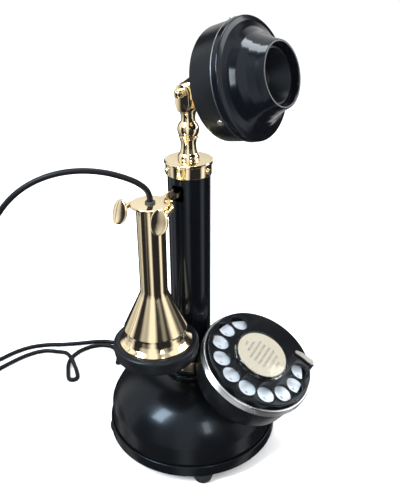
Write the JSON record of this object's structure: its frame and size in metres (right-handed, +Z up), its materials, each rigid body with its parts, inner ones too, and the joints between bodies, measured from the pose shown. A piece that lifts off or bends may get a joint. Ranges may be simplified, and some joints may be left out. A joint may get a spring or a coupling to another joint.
{
  "type": "rotary dial candlestick telephone",
  "caption": "Upright desk telephone: a tilting transmitter on a column, a receiver hung on a switch hook, and a rotary dial clamped above a domed base.",
  "frame": {"origin": "on the column's axis, on the surface that the rubber feet stand on", "axes": "+Z up along the column; -Y is the front, where the dial and the transmitter face; the receiver hangs on the -X side"},
  "size_m": [0.2199, 0.3115, 0.3269],
  "materials": {
    "black_enamel": "satin gloss",
    "polished_brass": "polished",
    "black_gloss": "high gloss",
    "black_satin": "satin",
    "seam_metal": "satin",
    "bezel_metal": "satin",
    "stop_steel": "satin",
    "plain_steel": "plain",
    "iron": "plain",
    "number_white": "enamel",
    "card_cream": "printed card",
    "clear_cover": "clear",
    "feet_rubber": "matt",
    "cord_black": "smooth jacket",
    "plug_plastic": "gloss",
    "tie_black": "matt",
    "moulded_black": "matt",
    "board_green": "solder mask",
    "terminal_grey": "matt",
    "nickel": "nickel plate"
  },
  "bodies": {
    "base": {"ballast_ring": "iron", "base_pan": "black_enamel", "base_shell": "black_enamel", "bezel_ring": "bezel_metal", "board_screws": "plain_steel", "circuit_board": "board_green", "clamp_band": "polished_brass", "clamp_screw": "polished_brass", "coil_tie": "tie_black", "column_foot": "black_enamel", "column_nut": "plain_steel", "column_screws": "polished_brass", "column_tube": "black_enamel", "contact_springs": "nickel", "cord_glands": "moulded_black", "dial_bracket": "black_enamel", "dial_housing": "black_enamel", "dial_screws": "plain_steel", "finger_stop": "stop_steel", "foot_screws": "plain_steel", "hook_pin": "plain_steel", "line_coil": "cord_black", "line_cord": "cord_black", "line_plug": "plug_plastic", "mechanism_plate": "plain_steel", "neck_post": "polished_brass", "number_plate": "number_white", "pulse_contacts": "moulded_black", "receiver_cord": "cord_black", "rubber_feet": "feet_rubber", "sounder": "moulded_black", "spring_barrel": "plain_steel", "spring_block": "moulded_black", "terminal_block": "terminal_grey", "tilt_bolt": "polished_brass", "top_collar": "polished_brass"},
    "hook": {"hook_lever": "polished_brass"},
    "receiver": {"receiver_body": "polished_brass", "receiver_top": "polished_brass", "receiver_grommet": "moulded_black", "receiver_dish": "polished_brass", "ear_cap": "black_satin", "receiver_diaphragm": "iron", "receiver_magnet": "iron"},
    "transmitter": {"transmitter_cup": "black_enamel", "transmitter_face": "black_gloss", "mouthpiece": "black_satin", "seam_ring": "seam_metal", "transmitter_screws": "plain_steel", "mic_capsule": "plain_steel", "transmitter_lug": "polished_brass"},
    "wheel": {"finger_wheel": "black_enamel", "label_card": "card_cream", "label_cover": "clear_cover", "wheel_spindle": "plain_steel", "main_gear": "polished_brass"},
    "governor": {"governor_shaft": "plain_steel", "pulse_cam": "moulded_black", "flyweights": "iron"}
  },
  "joints": [
    {"name": "receiver_lift", "type": "slide", "parent": "base", "child": "receiver", "axis": [-0.4982, -0.0427, 0.866], "range_m": [0, 0.1], "deforming": ["receiver_cord"]},
    {"name": "switch_hook", "type": "hinge", "parent": "base", "child": "hook", "pos_m": [0, 0, 0.2127], "axis": [-0.0854, 0.9963, 0], "range_deg": [0, 8.1]},
    {"name": "transmitter_tilt", "type": "hinge", "parent": "base", "child": "transmitter", "pos_m": [0, 0, 0.2778], "axis": [1, 0, 0], "range_deg": [-25, 30]},
    {"name": "dial_turn", "type": "hinge", "parent": "base", "child": "wheel", "pos_m": [0, -0.0629, 0.0958], "axis": [0, 0.4493, -0.8934], "range_deg": [0, 320], "stiffness_Nm_per_rad": 0.008},
    {"name": "governor_spin", "type": "hinge", "parent": "base", "child": "governor", "pos_m": [0.01701, -0.04771, 0.10344], "axis": [0, -0.4493, 0.8934], "range_deg": [0, 1282]}
  ],
  "couplings": [
    {"joint": "switch_hook", "follows": "receiver_lift", "rad_per_m": 1.3963},
    {"joint": "governor_spin", "follows": "dial_turn", "ratio": 4}
  ]
}
